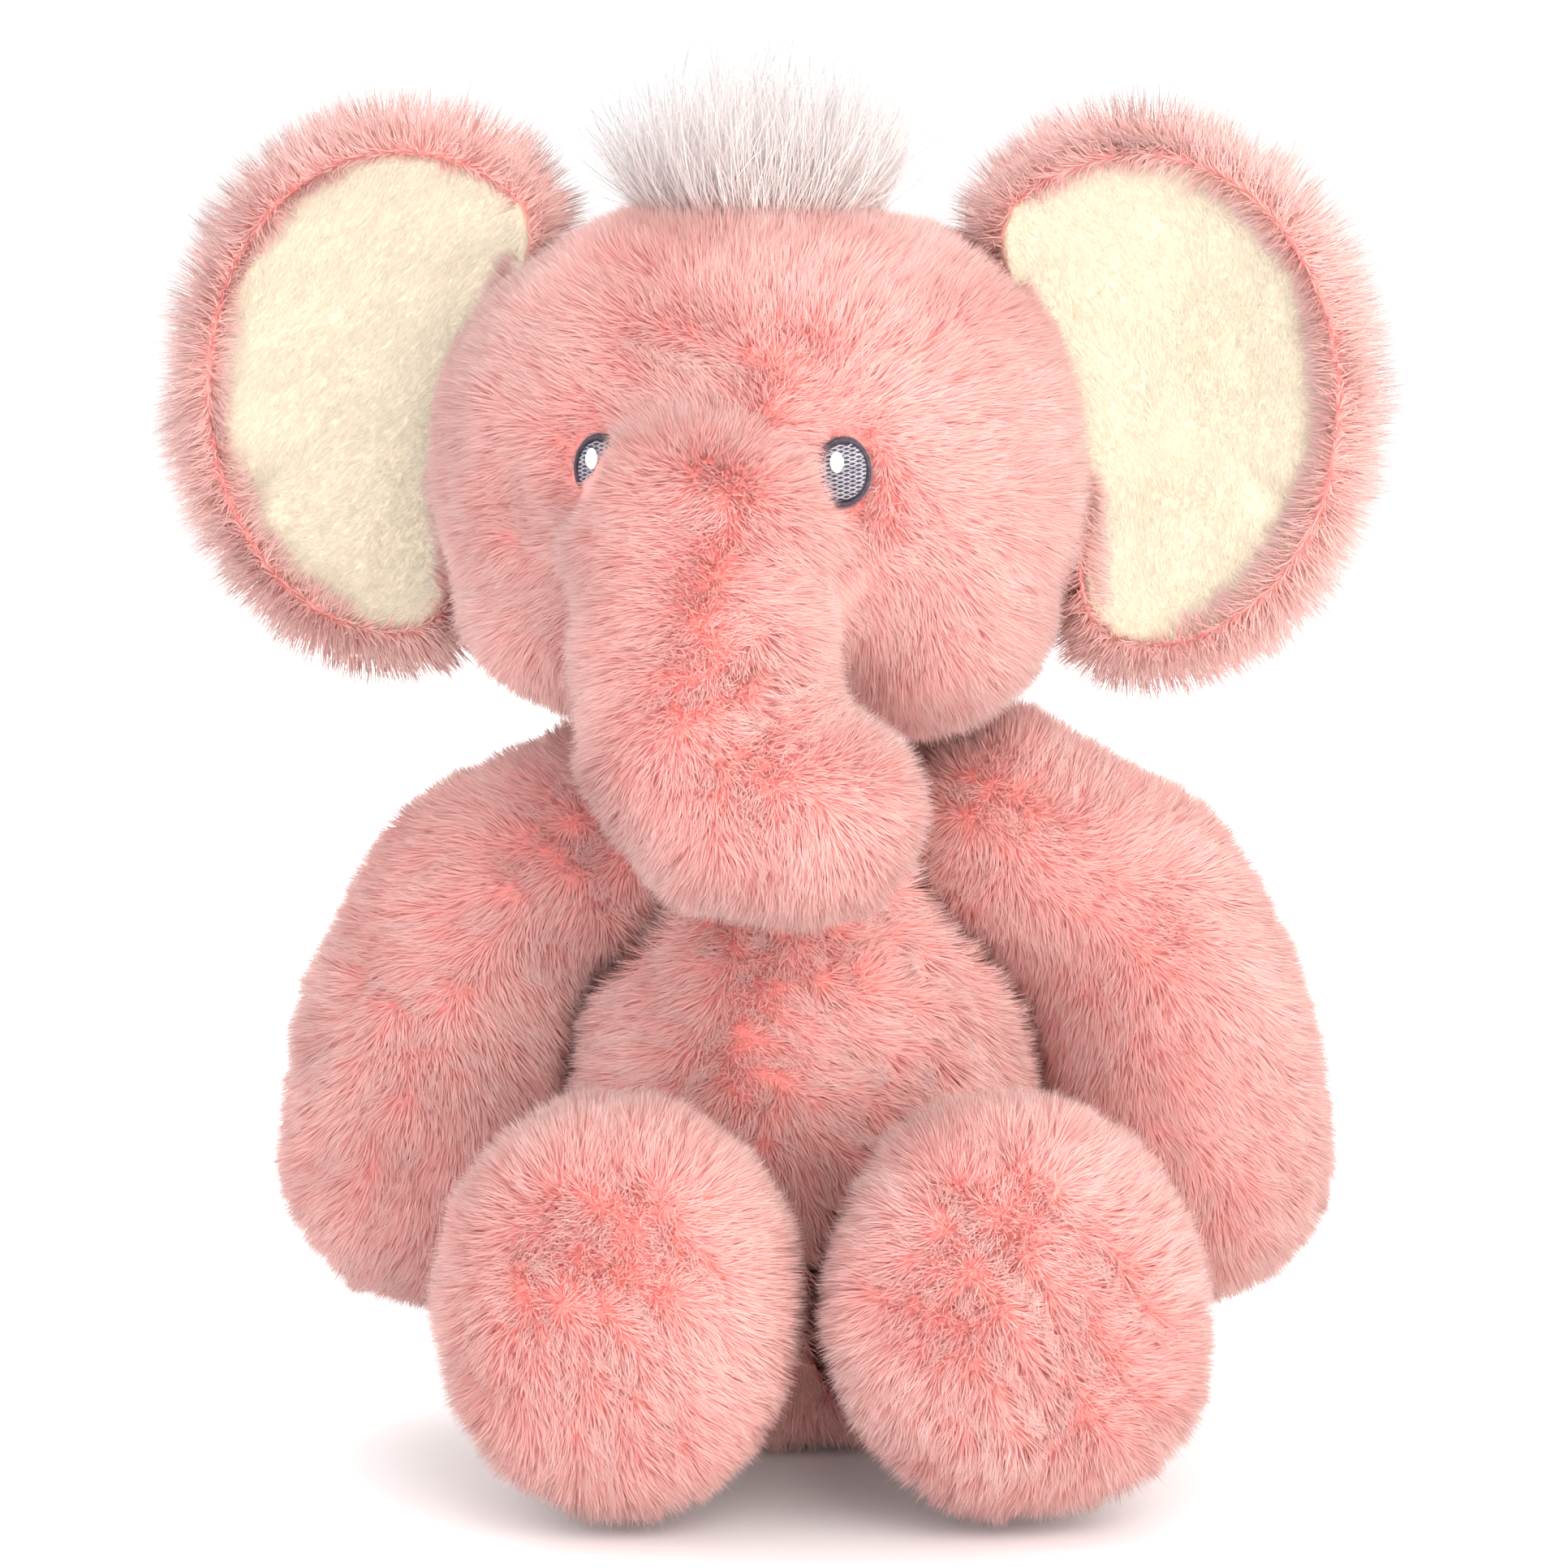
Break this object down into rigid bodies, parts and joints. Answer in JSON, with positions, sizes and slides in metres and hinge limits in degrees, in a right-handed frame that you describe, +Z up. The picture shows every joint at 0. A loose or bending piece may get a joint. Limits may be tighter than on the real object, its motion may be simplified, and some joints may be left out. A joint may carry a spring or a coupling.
{
  "type": "plush elephant",
  "caption": "Seated stuffed elephant in long pile, with lined flapping ears, a curled trunk, an embroidered face, a hair tuft and soft sewn limbs.",
  "frame": {"origin": "middle of the flat seat, on the surface that the elephant sits on", "axes": "+Z up, -Y the way the face looks, +X the elephant's own left"},
  "size_m": [0.2763, 0.1895, 0.309],
  "materials": {
    "pink_pile": "long salmon-pink faux-fur pile, deep coral at the roots and pale at the tips",
    "ear_velboa": "short-nap cream velboa",
    "tuft_hair": "long wispy white and pale pink hair",
    "stuffing": "white polyester fibrefill",
    "pouch_cotton": "plain woven cotton pouch filled with pellets",
    "dark_thread": "dark plum-grey satin-stitch rayon thread",
    "grey_thread": "lavender-grey rayon fill stitches",
    "white_thread": "white rayon satin stitches"
  },
  "bodies": {
    "torso": {"torso_front_panel": "pink_pile", "torso_back_left_panel": "pink_pile", "torso_back_right_panel": "pink_pile", "seat_panel": "pink_pile", "torso_stuffing": "stuffing", "pellet_pouch": "pouch_cotton"},
    "neck": {"neck_stuffing": "stuffing"},
    "head": {"head_left_panel": "pink_pile", "head_right_panel": "pink_pile", "head_gusset": "pink_pile", "chin_panel": "pink_pile", "head_stuffing": "stuffing", "head_tuft": "tuft_hair", "eye_left_outline": "dark_thread", "eye_left_fill": "grey_thread", "eye_left_highlight": "white_thread", "eye_right_outline": "dark_thread", "eye_right_fill": "grey_thread", "eye_right_highlight": "white_thread"},
    "ear_left": {"ear_left_back": "pink_pile", "ear_left_wadding": "stuffing", "ear_left_lining": "ear_velboa"},
    "ear_right": {"ear_right_back": "pink_pile", "ear_right_wadding": "stuffing", "ear_right_lining": "ear_velboa"},
    "trunk": {"trunk_left_panel": "pink_pile", "trunk_right_panel": "pink_pile", "trunk_stuffing": "stuffing"},
    "trunk_tip": {"trunk_tip_front_panel": "pink_pile", "trunk_tip_back_panel": "pink_pile", "trunk_tip_stuffing": "stuffing"},
    "arm_left": {"arm_left_front_panel": "pink_pile", "arm_left_back_panel": "pink_pile", "arm_left_stuffing": "stuffing"},
    "arm_right": {"arm_right_front_panel": "pink_pile", "arm_right_back_panel": "pink_pile", "arm_right_stuffing": "stuffing"},
    "leg_left": {"leg_left_top_panel": "pink_pile", "leg_left_bottom_panel": "pink_pile", "leg_left_sole": "pink_pile", "leg_left_stuffing": "stuffing"},
    "leg_right": {"leg_right_top_panel": "pink_pile", "leg_right_bottom_panel": "pink_pile", "leg_right_sole": "pink_pile", "leg_right_stuffing": "stuffing"},
    "tail": {"tail_strip": "pink_pile", "tail_tuft": "tuft_hair"}
  },
  "joints": [
    {"name": "head_turn", "type": "hinge", "parent": "torso", "child": "neck", "pos_m": [0, 0.002, 0.173], "axis": [0, 0, 1], "range_deg": [-40, 50], "stiffness_Nm_per_rad": 0.4},
    {"name": "head_nod", "type": "hinge", "parent": "neck", "child": "head", "pos_m": [0, 0.002, 0.173], "axis": [1, 0, 0], "range_deg": [-20, 8], "stiffness_Nm_per_rad": 0.8},
    {"name": "ear_left_flap", "type": "hinge", "parent": "head", "child": "ear_left", "pos_m": [0.06484, -0.01367, 0.225], "axis": [0, 0, 1], "range_deg": [-20, 20], "stiffness_Nm_per_rad": 0.05},
    {"name": "ear_right_flap", "type": "hinge", "parent": "head", "child": "ear_right", "pos_m": [-0.08134, 0.00948, 0.225], "axis": [0, 0, -1], "range_deg": [-20, 20], "stiffness_Nm_per_rad": 0.05},
    {"name": "trunk_lift", "type": "hinge", "parent": "head", "child": "trunk", "pos_m": [-0.01889, -0.06926, 0.205], "axis": [-0.9877, 0.1564, 0], "range_deg": [-3, 35], "stiffness_Nm_per_rad": 0.15},
    {"name": "trunk_tip_curl", "type": "hinge", "parent": "trunk", "child": "trunk_tip", "pos_m": [-0.02253, -0.0859, 0.17], "axis": [-0.1564, -0.9877, 0], "range_deg": [-20, 12], "stiffness_Nm_per_rad": 0.05},
    {"name": "arm_left_raise", "type": "hinge", "parent": "torso", "child": "arm_left", "pos_m": [0.045, 0.008, 0.136], "axis": [0, -1, 0], "range_deg": [0, 30], "stiffness_Nm_per_rad": 0.25},
    {"name": "arm_right_raise", "type": "hinge", "parent": "torso", "child": "arm_right", "pos_m": [-0.045, 0.008, 0.136], "axis": [0, 1, 0], "range_deg": [0, 30], "stiffness_Nm_per_rad": 0.25},
    {"name": "leg_left_swing", "type": "hinge", "parent": "torso", "child": "leg_left", "pos_m": [0.0345, -0.03, 0.038], "axis": [-1, 0, 0], "range_deg": [-28, 10], "stiffness_Nm_per_rad": 0.4},
    {"name": "leg_right_swing", "type": "hinge", "parent": "torso", "child": "leg_right", "pos_m": [-0.0345, -0.03, 0.038], "axis": [-1, 0, 0], "range_deg": [-28, 10], "stiffness_Nm_per_rad": 0.4},
    {"name": "tail_lift", "type": "hinge", "parent": "torso", "child": "tail", "pos_m": [0, 0.052, 0.05], "axis": [1, 0, 0], "range_deg": [0, 60], "stiffness_Nm_per_rad": 0.01}
  ]
}
